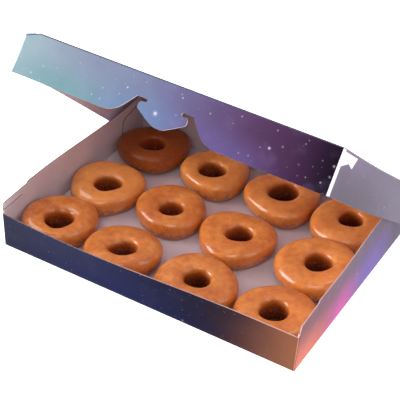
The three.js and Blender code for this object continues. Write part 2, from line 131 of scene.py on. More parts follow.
# ---- doughnuts ----
# (x, y), (outer radius, height), (tilt about X, about Y) in degrees, (x, y, radius) of the hole, and in
# percent how the outline leaves a circle: (cosine, sine) of twice the angle and of three times the angle.
# As in the part's source: fitted by a program, by least squares, to the outlines in the photograph and
# rounded to a tenth.
DOUGHNUTS = {
    "front": [
        ((-139.5, -88.5), (41.6, 28.1), (-1.9, 3.8), (3.6, -6.8, 14.7), ((-3.3, 5.6), (-1.2, 0.5))),
        ((-53.2, -92.9), (42.5, 26), (-5.9, -2.8), (4.8, -5.1, 14.2), ((1.2, 1.8), (1.2, 1.8))),
        ((40, -92.9), (43.6, 26), (2.1, 0.8), (1.4, 0.3, 12.7), ((5, 2.5), (3, -1.3))),
        ((134.1, -92), (43.5, 27.1), (-0.8, -1), (-1.5, -1.8, 14.3), ((1.3, 1.8), (-2.1, 0.8))),
    ],
    "middle": [
        ((-135.2, -4.1), (43.9, 26.7), (0.3, -0.5), (4.2, -4, 14.4), ((-0.9, 0.5), (-0.9, 4.4))),
        ((-49.2, -0.8), (40.6, 26.3), (0.6, 1), (4.3, -6.8, 12.1), ((2.4, -2.3), (-1.1, -0.9))),
        ((38, -5.3), (43.1, 26.8), (-0.9, -0.7), (3.7, 0.2, 13.3), ((2, 0), (-2.1, 5.1))),
        ((134.1, -2.9), (44.8, 28.7), (0.9, -2.7), (3.5, -1.3, 14.1), ((0.2, 0.9), (-2.3, 0.2))),
    ],
    "back": [
        ((-131.8, 91), (42.8, 26.1), (-1, -2.6), (2.1, -6.2, 13.8), ((1, 3.7), (-5.6, -2.7))),
        ((-43.4, 87.6), (41.6, 25.7), (1.1, -1.7), (-1.1, -5.9, 14.8), ((-0.4, -0.7), (-4.5, -3.2))),
        ((45.9, 88.1), (43.5, 26), (1.8, -0.4), (0, 0.8, 16), ((1.5, 1.4), (-6.6, -1.9))),
        ((130.9, 83.3), (42.8, 27.5), (3.1, -0.3), (2.2, 0.7, 12.1), ((-1, 0.9), (0.7, -1.9))),
    ],
}
ALL_DOUGHNUTS = [own for row in DOUGHNUTS.values() for own in row]
# how dark each doughnut is, from -1, pale, to 1, dark: how it was baked, and on the back left one, 0.95,
# painted shade for the shade of the lid and the left wall
BAKE_AND_SHADE = {
    "front": (0.14, 0.08, 0.04, -0.02),
    "middle": (-0.35, 0.08, 0.02, -0.12),
    "back": (0.95, -0.3, -0.2, -0.2),
}
DULL_FROM = 0.5  # a doughnut darker than this is the one in the lid's shade: it gets the dull copy of the dough, painted shade with little shine
GLAZED_COAT, DULL_COAT = 0.8, 0.12
FLAT_SHARE = 0.92  # the underside is flat below this share of the half height
HOLE_FULLNESS, OUTER_FULLNESS = 4.5, 2.6
HOLE_NARROWING = 0.36  # more than the 0.15 of the part's source, so that less of the floor shows
HEIGHT_WAVES = ((1, 0.02), (2, 0.02), (4, 0.01))  # count, share of the height
HOLE_WAVES = ((2, 0.05), (3, 0.03))  # count, share of the hole's radius
HOLE_CHANNEL, HEIGHT_CHANNEL = 10, 20  # keep the draws of the two apart
WALL_ROOM = 2.5  # kept between a doughnut and the board beside it
PRESS_SHOULDER = 0.5  # over about this distance a pressed side turns round
RING_STEPS, TUBE_STEPS = 224, 88
USUAL_SECTION, SECTION_PATH_POINTS = (15.0, 14.0), 4001  # half width and half height of a usual section
SKIN_INSET = 0.4
SWELL, SWELL_SIZE = 0.5, 24.0
FINE_RELIEF, FINE_SIZE = 0.1, 8.0
FLAKE_RELIEF, FLAKE_INSET, FLAKE_SIZE = 0.5, 0.15, 2.4
SEED_STEP = 400.0  # in the noise, from one doughnut to the next

# ---- camera and lamps ----
# solved by least squares from the carton's edges in the photograph
CAMERA_PLACE = (519.0, -906.5, 845.3)
CAMERA_YAW, CAMERA_PITCH, CAMERA_ROLL = 30.393, 37.294, 1.748
FOCAL_PIXELS, FRAME_PIXELS, SENSOR = 1200.58, 400, 36.0
# these are in metres
CLIP_START, CLIP_END = 0.05, 20.0
LAMP_DISTANCE = 2.0
LAMP_AIM = (0, 0, 0.03)
STAGE_HALF, STAGE_Z = 6.0, -0.0004


def make_camera():
    """The photograph's pinhole camera: level and looking along +Y before it is turned."""
    yaw, pitch, roll = (math.radians(v) for v in (CAMERA_YAW, CAMERA_PITCH, CAMERA_ROLL))
    data = bpy.data.cameras.new("camera")
    data.sensor_width = SENSOR
    data.lens = FOCAL_PIXELS / FRAME_PIXELS * SENSOR
    data.clip_start, data.clip_end = CLIP_START, CLIP_END
    camera = bpy.data.objects.new("camera", data)
    turned = Matrix.Rotation(yaw, 4, "Z") @ Matrix.Rotation(math.pi / 2 - pitch, 4, "X")
    turned = turned @ Matrix.Rotation(roll, 4, "Z")
    camera.matrix_world = Matrix.Translation(Vector(CAMERA_PLACE) * MM) @ turned
    bpy.context.scene.collection.objects.link(camera)
    bpy.context.scene.camera = camera


# ---- materials, helpers ----
def colour(red, green, blue):
    """Linear colour of a screen colour given from 0 to 255."""
    parts = [v / 255 for v in (red, green, blue)]
    return tuple(v / 12.92 if v <= 0.04045 else ((v + 0.055) / 1.055) ** 2.4 for v in parts) + (1.0,)


class Look:
    """A material and short ways to add nodes to it. Inputs are sockets or plain values.

    The running colour is kept in base, and tint() changes it.
    """

    def __init__(self, name):
        self.material = bpy.data.materials.new(name)
        self.material.use_nodes = True
        self.tree = self.material.node_tree
        self.tree.nodes.clear()
        self.bsdf = self.tree.nodes.new("ShaderNodeBsdfPrincipled")
        out = self.tree.nodes.new("ShaderNodeOutputMaterial")
        self.tree.links.new(self.bsdf.outputs[0], out.inputs[0])
        self.base = None

    def put(self, socket, value):
        if isinstance(value, bpy.types.NodeSocket):
            self.tree.links.new(value, socket)
        else:
            socket.default_value = value

    def set(self, **inputs):
        """Sets inputs of the main node. In their names _ stands for a blank."""
        for name, value in inputs.items():
            self.put(self.bsdf.inputs[name.replace("_", " ")], value)

    def node(self, kind, inputs=(), **options):
        """A new node, its inputs by name or number and its options by name."""
        node = self.tree.nodes.new("ShaderNode" + kind)
        for name, value in options.items():
            setattr(node, name, value)
        for name, value in dict(inputs).items():
            self.put(node.inputs[name], value)
        return node

    def place(self):
        """Where a point lies on its sheet or in its dough, in millimetres."""
        return self.node("Attribute", attribute_name="place").outputs["Vector"]

    def number(self, name):
        return self.node("Attribute", attribute_name=name).outputs["Fac"]

    def parts(self, vector):
        return self.node("SeparateXYZ", {0: vector}).outputs

    def times(self, a, b):
        return self.math("MULTIPLY", a, b)

    def line(self, value, slope, start, clamp=False):
        """The value times slope plus start."""
        return self.math("MULTIPLY_ADD", value, slope, start, clamp)

    def math(self, operation, a, b=0.0, c=0.0, clamp=False):
        node = self.node("Math", {0: a, 1: b, 2: c}, operation=operation, use_clamp=clamp)
        return node.outputs[0]

    def step(self, value, start, end, low=0.0, high=1.0, smooth=True):
        """From low at start to high at end, and level beyond them."""
        kind = "SMOOTHSTEP" if smooth else "LINEAR"
        inputs = {"Value": value, "From Min": start, "From Max": end, "To Min": low, "To Max": high}
        return self.node("MapRange", inputs, interpolation_type=kind).outputs[0]

    def mix(self, share, a, b, blend="MIX"):
        node = self.node("Mix", data_type="RGBA", blend_type=blend)
        self.put(node.inputs[0], share)
        self.put(node.inputs[6], a)
        self.put(node.inputs[7], b)
        return node.outputs[2]

    def tint(self, share, strength, tone):
        """Moves the running colour toward a screen colour by share times strength."""
        self.base = self.mix(self.times(share, strength), self.base, colour(*tone))

    def shifted(self, vector, x, y):
        """The vector moved aside, for another stretch of the same noise."""
        return self.node("VectorMath", {0: vector, 1: (x, y, 0)}, operation="ADD").outputs[0]

    def ramp(self, share, stops, interpolation="LINEAR"):
        node = self.node("ValToRGB", {0: share})
        node.color_ramp.interpolation = interpolation
        elements = node.color_ramp.elements
        while len(elements) < len(stops):
            elements.new(1.0)
        for element, (position, tone) in zip(elements, stops):
            element.position = position
            element.color = colour(*tone)
        return node.outputs[0]

    def noise(self, vector, scale, detail=2.0, roughness=0.5, distortion=0.0, kind="3D"):
        inputs = {"Vector": vector, "Scale": scale, "Detail": detail}
        inputs.update({"Roughness": roughness, "Distortion": distortion})
        return self.node("TexNoise", inputs, noise_dimensions=kind).outputs[0]

    def bump(self, height, strength):
        inputs = {"Height": height, "Strength": strength, "Distance": MM}
        return self.node("Bump", inputs).outputs[0]


# ---- mesh helpers ----
class Build:
    """Collects faces with their material and their place on the printed sheet."""

    def __init__(self):
        self.points, self.places, self.faces, self.kinds = [], [], [], []

    def add(self, points, places, faces, kinds):
        """Adds points with their places on the sheet, and faces with their material keys."""
        base = sum(len(p) for p in self.points)
        self.points.append(np.asarray(points, float))
        self.places.append(np.asarray(places, float))
        self.faces.extend([tuple(int(i) + base for i in face) for face in faces])
        self.kinds.extend(kinds)

    def finish(self, name, materials, sharp=35.0):
        """The closed mesh, facing out. Edges bent by more than sharp, in degrees, stay sharp."""
        points = np.concatenate(self.points) * MM
        mesh = bpy.data.meshes.new(name)
        mesh.from_pydata(points.tolist(), [], self.faces)
        names = list(materials)
        for material in materials.values():
            mesh.materials.append(material)
        mesh.polygons.foreach_set("material_index", [names.index(kind) for kind in self.kinds])
        place = mesh.attributes.new("place", "FLOAT_VECTOR", "POINT")
        place.data.foreach_set("vector", np.concatenate(self.places).astype(np.float32).ravel())
        mesh.shade_smooth()
        mesh.set_sharp_from_angle(angle=math.radians(sharp))
        work = bmesh.new()
        work.from_mesh(mesh)
        bmesh.ops.recalc_face_normals(work, faces=work.faces)
        work.to_mesh(mesh)
        work.free()
        mesh.update()
        piece = bpy.data.objects.new(name, mesh)
        bpy.context.scene.collection.objects.link(piece)
        return piece


def smoothstep(value, start, end):
    """From 0 at start to 1 at end."""
    t = np.clip((value - start) / (end - start), 0, 1)
    return t * t * (3 - 2 * t)


def spots(x, y, z):
    return np.stack(np.broadcast_arrays(x, y, z), 1).astype(float)


def slab(build, us, vs, place, kinds, sheet=(1, 1)):
    """A bent board over stations us x vs, with place(u, v, depth share).

    kinds: the faces at depth share 0 and 1, then the borders at the start and end of us and of vs.
    sheet: what u and v are multiplied by on the printed sheet.
    """
    u, v = (a.ravel() for a in np.meshgrid(us, vs, indexing="ij"))
    points = np.concatenate([place(u, v, 0.0), place(u, v, 1.0)])
    places = np.concatenate([spots(u * sheet[0], v * sheet[1], 0)] * 2)
    outer, inner = np.arange(2 * len(u)).reshape(2, len(us), len(vs))
    faces, names = [], []

    def strip(one, other, kind, turned=True):
        """Faces between two lines of points."""
        for a, after_a, b, after_b in zip(one[:-1], one[1:], other[:-1], other[1:]):
            faces.append((a, after_a, after_b, b) if turned else (a, b, after_b, after_a))
            names.append(kind)

    for i in range(len(us) - 1):
        strip(outer[i], outer[i + 1], kinds[0], turned=False)
        strip(inner[i], inner[i + 1], kinds[1])
    strip(outer[0], inner[0], kinds[2])
    strip(inner[-1], outer[-1], kinds[3])
    strip(outer[:, 0], inner[:, 0], kinds[4], turned=False)
    strip(outer[:, -1], inner[:, -1], kinds[5])
    build.add(points, places, faces, names)


def tube_faces(rings, count, closed):
    """Faces of a tube of rings with count points each; closed joins its ends."""
    faces = []
    for i in range(rings if closed else rings - 1):
        following = (i + 1) % rings
        for k in range(count):
            after = (k + 1) % count
            faces.append((i * count + k, following * count + k, following * count + after, i * count + after))
    return faces


# ---- tray ----
def lean_at(z, height):
    """Share of a wall's full lean that it has at a height."""
    return np.maximum(z, 0) ** LEAN_POWER / height**LEAN_POWER


def front_wave(x):
    t = x / WIDTH + 0.5
    total = FRONT_LEAN + FRONT_LEAN_SKEW * (2 * t - 1)
    for i, size in enumerate(FRONT_WAVE):
        total = total + size * np.sin((i + 1) * math.pi * t)
    return total


def side_lean(x, from_front):
    """How far the top edge of the side wall on the side of x leans in."""
    pinch = SIDE_PINCH * smoothstep(from_front, PINCH_START, PINCH_FULL)
    ease = 1 + (PINCH_LEFT_AT_BACK - 1) * smoothstep(from_front, PINCH_EASE, DEPTH)
    end = np.where(x < 0, FLARE_END[LEFT], FLARE_END[RIGHT])
    return pinch * ease - SIDE_FLARE * (1 - smoothstep(from_front, 0, end))


def side_top(from_front):
    return float(np.interp(from_front, *zip(*SIDE_TOP)))


def wall_shift(x, y, z):
    """How far the board has moved in x and y from its upright place."""
    from_front = y + DEPTH / 2
    held = np.maximum(0, 1 - from_front / CORNER_FOLD)
    shift_y = front_wave(x) * lean_at(z, FRONT_HEIGHT) * held
    near_end = smoothstep(np.abs(x), *CORNER_BLEND)
    near_side = np.where(from_front < CORNER_FOLD, near_end, np.abs(x) / (WIDTH / 2))
    shift_x = -np.sign(x) * side_lean(x, from_front) * lean_at(z, SIDE_HEIGHT) * np.minimum(near_side, 1)
    return shift_x, shift_y


def wall_loop():
    """Stations round the tray: base point, outward direction, top height and wall name."""
    half_w, half_d, r = WIDTH / 2, DEPTH / 2, CORNER_RADIUS

    def corner(cx, cy, start, walls, tops):
        turns = []
        for i in range(1, CORNER_STEPS):
            angle = math.radians(start + 90 * i / CORNER_STEPS)
            nx, ny = math.cos(angle), math.sin(angle)
            wall = walls[0] if i <= CORNER_STEPS / 2 else walls[1]
            top = tops[0] + (tops[1] - tops[0]) * i / CORNER_STEPS
            turns.append((cx + r * nx, cy + r * ny, nx, ny, top, wall))
        return turns

    xs = np.linspace(r - half_w, half_w - r, FRONT_STATIONS)
    ys = [r, 1.6, 2.4, 3.2, 6, 10, 14, 18, 22, 26, 30, 34, 38, 41, CORNER_FOLD, 45.3, 46.5, 50]
    ys += list(np.linspace(SIDE_EVEN_START, DEPTH - r, SIDE_STATIONS))
    front_tops, back_tops = (FRONT_HEIGHT, side_top(r)), (BACK_HEIGHT, BACK_HEIGHT)
    stations = [(x, -half_d, 0, -1, FRONT_HEIGHT, "front") for x in xs]
    stations += corner(half_w - r, r - half_d, -90, ("front", "right"), front_tops)
    stations += [(half_w, y - half_d, 1, 0, side_top(y), "right") for y in ys]
    stations += corner(half_w - r, half_d - r, 0, ("right", "back"), back_tops)
    stations += [(x, half_d, 0, 1, BACK_HEIGHT, "back") for x in xs[::-1]]
    stations += corner(r - half_w, half_d - r, 90, ("back", "left"), back_tops)
    stations += [(-half_w, y - half_d, -1, 0, side_top(y), "left") for y in ys[::-1]]
    return stations + corner(r - half_w, r - half_d, 180, ("left", "front"), front_tops[::-1])


def wall_section(top):
    """Section of a wall as depth, height and the surface that starts there."""
    heights = np.linspace(CORNER_RADIUS, top - RIM_BEVEL, WALL_ROWS)
    foot = [(depth, z, "print") for depth, z in FOOT_ROUNDING]
    outer = [(0.0, z, "print") for z in heights[1:-1]]
    rim = [(0.0, top - RIM_BEVEL, "rim"), (RIM_BEVEL, top, "rim"), (BOARD - RIM_BEVEL, top, "rim")]
    inner = [(BOARD, z, "board") for z in heights[::-1]]
    return foot + outer + rim + inner + [(BOARD, 0.0, "board")]


def add_walls(build):
    stations = wall_loop()
    points, places = [], []
    for bx, by, nx, ny, top, wall in stations:
        depth, z, surfaces = zip(*wall_section(top))
        depth, z = np.array(depth), np.array(z)
        in_corner = nx != 0 and ny != 0
        inward = np.minimum(depth, CORNER_RADIUS) if in_corner else depth
        shift_x, shift_y = wall_shift(np.full_like(z, bx), np.full_like(z, by), z)
        points.append(spots(bx - nx * inward + shift_x, by - ny * inward + shift_y, z))
        along = bx if wall in ("front", "back") else by + DEPTH / 2
        places.append(spots(along, z, depth))
    faces = tube_faces(len(stations), len(surfaces), closed=True)
    kinds = [wall if surface == "print" else surface for *_, wall in stations for surface in surfaces]
    build.add(np.concatenate(points), np.concatenate(places), faces, kinds)


def side_point(side, from_front, z, depth):
    """Points at a depth behind the outside of a side wall."""
    shift_x, shift_y = wall_shift(side * WIDTH / 2 + 0 * z, from_front - DEPTH / 2, z)
    return spots(side * (WIDTH / 2 - depth) + shift_x, from_front - DEPTH / 2 + shift_y, z)


def add_tab(build, side, tab, start, free):
    """A corner tab inside a side wall, from the corner at start to its free end."""

    def place(u, v, share):
        progress = (u - start) / (free - start)
        near_end = np.clip((progress - (1 - TAB_END_SHARE)) / TAB_END_SHARE, 0, 1)
        top = tab["corner"] + (tab["free"] - tab["corner"]) * progress - near_end**2 * TAB_END_ROUNDING
        depth = BOARD * TAB_ROOT + share * (BOARD * (1 - TAB_ROOT) + TAB_THICKNESS)
        return side_point(side, u, v * top, depth)

    us, vs = np.linspace(start, free, TAB_STATIONS[0]), np.linspace(TAB_FOOT, 1, TAB_STATIONS[1])
    # painted shade: the tabs' top edges and the back tabs' free ends get dark board for the shade in the
    # narrow gap behind them
    free_end = "slit_shade" if start > free else "board"
    slab(build, us, vs, place, ("board", "board", "board", free_end, "board", "slit_shade"), (1, tab["free"]))


def add_floor(build):
    """The floor, slightly wavy, with painted shade where a hole shows it."""
    half_w, half_d = WIDTH / 2 - FLOOR_MARGIN, DEPTH / 2 - FLOOR_MARGIN

    def place(u, v, share):
        rise = FLOOR_RISE * np.sin(u / FLOOR_WAVE_X + 1) * np.cos(v / FLOOR_WAVE_Y)
        rise = rise * smoothstep(half_w - np.abs(u), 0, FLOOR_RISE_EDGE)
        return spots(u, v, (BOARD + rise) * (1 - share))

    us = np.linspace(-half_w, half_w, FLOOR_STATIONS[0])
    vs = np.linspace(-half_d, half_d, FLOOR_STATIONS[1])
    slab(build, us, vs, place, ("board", "under", "cut", "cut", "cut", "cut"))
    points, base = build.points[-1], sum(len(p) for p in build.points[:-1])
    holes = [(x + hole_x, y + hole_y) for (x, y), _, _, (hole_x, hole_y, _), _ in ALL_DOUGHNUTS]
    # painted shade: floor faces near a hole's middle get a dark brown board
    for index, (face, kind) in enumerate(zip(build.faces, build.kinds)):
        if kind == "board" and min(face) >= base:
            middle = points[[i - base for i in face]].mean(axis=0)
            if min(math.dist(middle[:2], hole) for hole in holes) < HOLE_SHADE_REACH:
                build.kinds[index] = "shade_under_hole"


def add_hinge_fold(build):
    """The fold between the back wall and the lid, a thin round bead that stays with the tray."""
    half = WIDTH / 2 - BEAD_END_ROOM
    angles = np.radians(np.linspace(0, 180, BEAD_ARC_POINTS))
    section = [(BEAD_RADIUS * math.cos(a), BEAD_RADIUS * math.sin(a)) for a in angles]
    section += [(-BEAD_RADIUS, -BEAD_DROP), (BEAD_RADIUS, -BEAD_DROP)]
    xs = np.linspace(-half, half, BEAD_STATIONS)
    points = [(x, HINGE_Y + sy, HINGE_Z + sz) for x in xs for sy, sz in section]
    places = [(x, 0.0, 0.0) for x in xs for _ in section]
    count = len(section)
    faces = tube_faces(BEAD_STATIONS, count, closed=False)
    faces.append(tuple(range(count)))
    faces.append(tuple((BEAD_STATIONS - 1) * count + k for k in reversed(range(count))))
    build.add(points, places, faces, ["fold"] * len(faces))


def make_tray(materials):
    build = Build()
    add_walls(build)
    add_floor(build)
    for side in (LEFT, RIGHT):
        add_tab(build, side, FRONT_TAB, TAB_START, FRONT_TAB["length"])
        add_tab(build, side, BACK_TAB, DEPTH - TAB_START, DEPTH - BACK_TAB["length"])
    add_hinge_fold(build)
    kinds = ("front", "right", "back", "left", "under", "board", "shade_under_hole", "rim", "slit_shade", "cut", "fold")
    tray = build.finish("tray_board", {kind: materials[kind] for kind in kinds})
    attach(tray, "base")
    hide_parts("tray")


# ---- lid ----
def sprung(points):
    """The spring of the board: the crushed corner, the sag of the right side and the twist, then opened."""
    x, y, z = points.T
    near_side = np.maximum(0, 1 - (x + LID_WIDTH / 2) / DENT_REACH)
    near_front = np.maximum(0, 1 - (y + LID_LENGTH) / DENT_REACH)
    near_top = np.clip(1 + z / LID_FRONT_HEIGHT, 0, 1)
    rising = np.minimum(1, CORNER_PUSH_GROWTH * near_top)
    push = CORNER_PUSH[0] + (CORNER_PUSH[1] - CORNER_PUSH[0]) * rising
    to_right = x / WIDTH + 0.5
    sag = SAG * to_right * np.sin(math.pi * np.clip(-y, 0, LID_LENGTH) / LID_LENGTH)
    z = z - DENT_DEPTH * near_side * near_front * near_top - sag
    x = x + push * near_side * np.maximum(0, 1 - (y + LID_LENGTH) / CORNER_PUSH_REACH)
    angle = TWIST * to_right - OPEN_ANGLE
    turned_y = y * np.cos(angle) - z * np.sin(angle)
    turned_z = y * np.sin(angle) + z * np.cos(angle)
    return spots(x, turned_y + HINGE_Y, turned_z + HINGE_Z)


def lid_stations(count):
    """Stations from the lid's front edge to the hinge, finer near the crushed corner."""
    near = [d - LID_LENGTH for d in FINE_FROM_FRONT]
    return np.array(near + list(np.linspace(EVEN_FROM_Y, -HINGE_CLEARANCE, count)))


def add_lid_top(build):
    near = [d - LID_WIDTH / 2 for d in FINE_FROM_LEFT]
    xs = np.array(near + list(np.linspace(EVEN_FROM_X, LID_WIDTH / 2, LID_TOP_STATIONS[0])))

    def place(u, v, share):
        return sprung(spots(u, v, LID_TOP - share * BOARD))

    # on the front fold, dark_fold is a thin dark line: partly the print's own dark tone, partly painted shade
    # on the turned edge
    kinds = ("lid_top", "board", "lid_left", "grey_fold", "dark_fold", "cut")
    slab(build, xs, lid_stations(LID_TOP_STATIONS[1]), place, kinds, (1, -1))


def add_lid_side(build, side):
    """A side panel, which hangs from the middle of the top panel's thickness."""
    front_height, hinge_height, taper_end = LID_SIDES[side]

    def place(u, v, share):
        height = hinge_height + (front_height - hinge_height) * np.minimum(1, -u / taper_end)
        z = LID_TOP - BOARD / 2 - v * (height - BOARD / 2)
        x = side * (LID_WIDTH / 2 - FOLD_STEP - share * BOARD)
        return sprung(spots(x, u, z))

    kind = "lid_left" if side == LEFT else "lid_right"
    us, vs = lid_stations(LID_SIDE_STATIONS[0]), np.linspace(0, 1, LID_SIDE_STATIONS[1])
    slab(build, us, vs, place, (kind, "board", kind, "cut", kind, "cut"), (-1, LID_FRONT_HEIGHT))


def rounded(corners):
    """Closed outline of (x, z, radius) corners, with each corner replaced by a small curve."""
    outline = []
    total = len(corners)
    places = [np.array(corner[:2], float) for corner in corners]
    for i, (here, (_, _, radius)) in enumerate(zip(places, corners)):
        if radius == 0:
            outline.append(here)
            continue
        ends = []
        for other in (places[i - 1], places[(i + 1) % total]):
            length = np.linalg.norm(other - here)
            ends.append(here + (other - here) / length * min(radius, ROUNDING_LIMIT * length))
        for k in range(ROUNDING_STEPS + 1):
            t = k / ROUNDING_STEPS
            outline.append((1 - t) ** 2 * ends[0] + 2 * t * (1 - t) * here + t * t * ends[1])
    return outline


def front_panel_outline():
    """Outline of the lid's front panel: x, z below the lid's top face and the rounding of each corner."""
    half, top, foot = (LID_WIDTH - BOARD) / 2, -BOARD / 2, -LID_FRONT_HEIGHT
    slot_top = NOTCH_HIGH[1] - SLOT_HEIGHT / 2
    slot_low = slot_top + SLOT_HEIGHT
    # from a notch's mouth over the hook and its slot to the tongue's tip: half width, down, rounding
    side = [
        (NOTCH_MOUTH, LID_FRONT_HEIGHT, 15.0),
        (NOTCH_HIGH[0], slot_top, 0.8),
        (SLOT_INNER_END, slot_top, 1.4),
        (SLOT_INNER_END - 0.9, (slot_top + slot_low) / 2, 0.5),
        (SLOT_INNER_END, slot_low, 1.4),
        (HOOK_HALF_WIDTH - 1.4, slot_low, 1.8),
        (HOOK_HALF_WIDTH + 0.2, slot_low + 3.0, 2.4),
        (HOOK_HALF_WIDTH - 0.2, slot_low + HOOK_HEIGHT, 1.2),
        (*TONGUE_SHOULDER, 3.0),
        (TONGUE_TIP_HALF_WIDTH, LID_FRONT_HEIGHT, 4.0),
    ]
    left = [(TONGUE_CENTRE - x, -down, radius) for x, down, radius in side]
    right = [(TONGUE_CENTRE + x, -down, radius) for x, down, radius in side[::-1]]
    start, end = [(-half, top, 0), (-half, foot, 0.8)], [(half, foot, 0.8), (half, top, 0)]
    return rounded(start + left + right + end)


def evenly(outline, spacing):
    points = []
    for here, after in zip(outline, outline[1:] + outline[:1]):
        pieces = max(1, int(np.linalg.norm(after - here) / spacing))
        points += [here + (after - here) * k / pieces for k in range(pieces)]
    return points


def add_lid_front(build):
    """The lid's front panel, cut out of a flat grid and then bent with the lid."""
    border = [Vector(p) for p in evenly(front_panel_outline(), PANEL_EDGE_STEP)]
    inside = [
        Vector((x, z))
        for x in np.arange(PANEL_GRID_START[0], WIDTH / 2, PANEL_GRID_STEP[0])
        for z in np.arange(PANEL_GRID_START[1], -1, PANEL_GRID_STEP[1])
    ]
    edges = [(i, (i + 1) % len(border)) for i in range(len(border))]
    flat, _, triangles, _, _, _ = delaunay_2d_cdt(border + inside, edges, [], 1, TOLERANCE)
    flat = np.array([tuple(p) for p in flat])
    count = len(flat)
    points = []
    for share in (0.0, 1.0):
        y = FOLD_STEP - LID_LENGTH + share * BOARD
        points.append(sprung(spots(flat[:, 0], y, LID_TOP + flat[:, 1])))
    faces = [tuple(t) for t in triangles] + [tuple(i + count for i in reversed(t)) for t in triangles]
    kinds = ["lid_front"] * len(triangles) + ["board"] * len(triangles)
    sides = dict.fromkeys(pair for a, b, c in triangles for pair in ((a, b), (b, c), (c, a)))
    for a, b in sides:
        if (b, a) not in sides:
            faces.append((b, a, a + count, b + count))
            x, z = (flat[a] + flat[b]) / 2
            folded = abs(x) > (LID_WIDTH - BOARD) / 2 - TOLERANCE or z > -BOARD
            kinds.append("lid_front" if folded else "cut")
    places = [spots(flat[:, 0], -flat[:, 1], 0)] * 2
    build.add(np.concatenate(points), np.concatenate(places), faces, kinds)


def make_lid(materials):
    build = Build()
    add_lid_top(build)
    add_lid_front(build)
    for side in (LEFT, RIGHT):
        add_lid_side(build, side)
    kinds = ("lid_top", "lid_front", "lid_left", "lid_right", "board", "cut", "dark_fold", "grey_fold")
    lid = build.finish("lid_board", {kind: materials[kind] for kind in kinds})
    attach(lid, "lid")
    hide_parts("lid")


# ---- doughnuts ----
def chance(a, b):
    """A scattered number from 0 to 1, always the same for the same a and b."""
    value = math.sin(a * 12.9898 + b * 78.233 + 1.7) * 43758.5453
    return value - math.floor(value)


def uneven(waves, angle, seed, channel):
    """About 1 all the way round, with waves of random phase."""
    total = 1.0
    for i, (count, size) in enumerate(waves):
        total = total + size * np.cos(count * angle + 2 * math.pi * chance(seed, channel + i))
    return total


def presses_on(own):
    """The walls and neighbours a ring may not pass, as directions and distances from its middle."""
    (x, y), (radius, height) = own[:2]
    wall_lean = max(0.0, float(front_wave(x))) * float(lean_at(height, FRONT_HEIGHT))
    presses = [
        (0, -1, y + DEPTH / 2 - BOARD - WALL_ROOM - wall_lean),
        (0, 1, DEPTH / 2 - BOARD - WALL_ROOM - y),
        (math.copysign(1, x), 0, WIDTH / 2 - BOARD - WALL_ROOM - abs(x)),
    ]
    for other in ALL_DOUGHNUTS:
        (other_x, other_y), (other_radius, _) = other[:2]
        apart = math.hypot(other_x - x, other_y - y)
        if other is own or apart > radius + other_radius + WALL_ROOM:
            continue
        reach = apart * radius / (radius + other_radius) - GAP
        presses.append(((other_x - x) / apart, (other_y - y) / apart, reach))
    return presses


def section_point(turn):
    """How far out and up a point of the section lies, from -1 to 1: fuller toward the hole."""
    power = 2 / np.where(np.cos(turn) < 0, HOLE_FULLNESS, OUTER_FULLNESS)
    return [np.sign(value) * np.abs(value) ** power for value in (np.cos(turn), np.sin(turn))]


def even_turns():
    """Turns round the section that lie evenly along it."""
    fine = np.linspace(0, 2 * math.pi, SECTION_PATH_POINTS)
    path = np.stack([size * value for size, value in zip(USUAL_SECTION, section_point(fine))], 1)
    run = np.concatenate([[0], np.cumsum(np.linalg.norm(np.diff(path, axis=0), axis=1))])
    return np.interp(np.arange(TUBE_STEPS) * run[-1] / TUBE_STEPS, run, fine)


def grid_normals(grid):
    """Outward normals of a closed grid of points, ring by section."""
    along = np.roll(grid, -1, 0) - np.roll(grid, 1, 0)
    across = np.roll(grid, -1, 1) - np.roll(grid, 1, 1)
    normals = np.cross(along, across)
    return normals / np.maximum(np.linalg.norm(normals, axis=2, keepdims=True), 1e-9)


def fractal(points, size, octaves):
    return np.array([noise.fractal(Vector(p) * (1 / size), 1.0, 2.0, octaves) for p in points])


def smooth_ring(own, seed):
    """The ring without relief: its grid of points, and how far out and up each one is."""
    _, (outer_radius, height), _, (hole_x, hole_y, hole_radius), outline = own
    angle = (2 * math.pi * np.arange(RING_STEPS) / RING_STEPS)[:, None]
    around = 1.0
    for i, (cosine, sine) in enumerate(outline):
        around = around + (cosine * np.cos((i + 2) * angle) + sine * np.sin((i + 2) * angle)) / 100
    outer = outer_radius * around
    hole = hole_radius * uneven(HOLE_WAVES, angle, seed, HOLE_CHANNEL)
    half_height = height / 2 * uneven(HEIGHT_WAVES, angle, seed, HEIGHT_CHANNEL)
    out, level = (value + 0 * angle for value in section_point(even_turns()[None, :]))
    share = (1 + out) / 2
    inner = hole * (1 - HOLE_NARROWING * np.maximum(0, -level))
    x = (hole_x + inner * np.cos(angle)) * (1 - share) + outer * np.cos(angle) * share
    y = (hole_y + inner * np.sin(angle)) * (1 - share) + outer * np.sin(angle) * share
    z = np.maximum(half_height * level, -FLAT_SHARE * height / 2)
    return np.stack([x, y, z], 2), out.ravel(), level.ravel()


def skin_relief(dough_space, out, level):
    """How far the skin stands out: swells, a fine relief and flakes low on the rim."""
    swell = fractal(dough_space, SWELL_SIZE, 2)
    fine = fractal(dough_space, FINE_SIZE, 3)
    flakes = fractal(dough_space, FLAKE_SIZE, 2)
    low_rim = smoothstep(level, 0.25, -0.35) * smoothstep(out, 0.55, 0.85)
    flaky = low_rim * (FLAKE_INSET + FLAKE_RELIEF * np.abs(flakes))
    return -SKIN_INSET + SWELL * swell + FINE_RELIEF * fine - flaky


def press(points, presses):
    """Moves the points that pass a flat press back to it, with a soft shoulder."""
    for nx, ny, reach in presses:
        over = points[:, 0] * nx + points[:, 1] * ny - reach + PRESS_SHOULDER
        soft = np.where(over > 0, over - PRESS_SHOULDER * (1 - np.exp(-over / PRESS_SHOULDER)), 0)
        points[:, 0] -= soft * nx
        points[:, 1] -= soft * ny


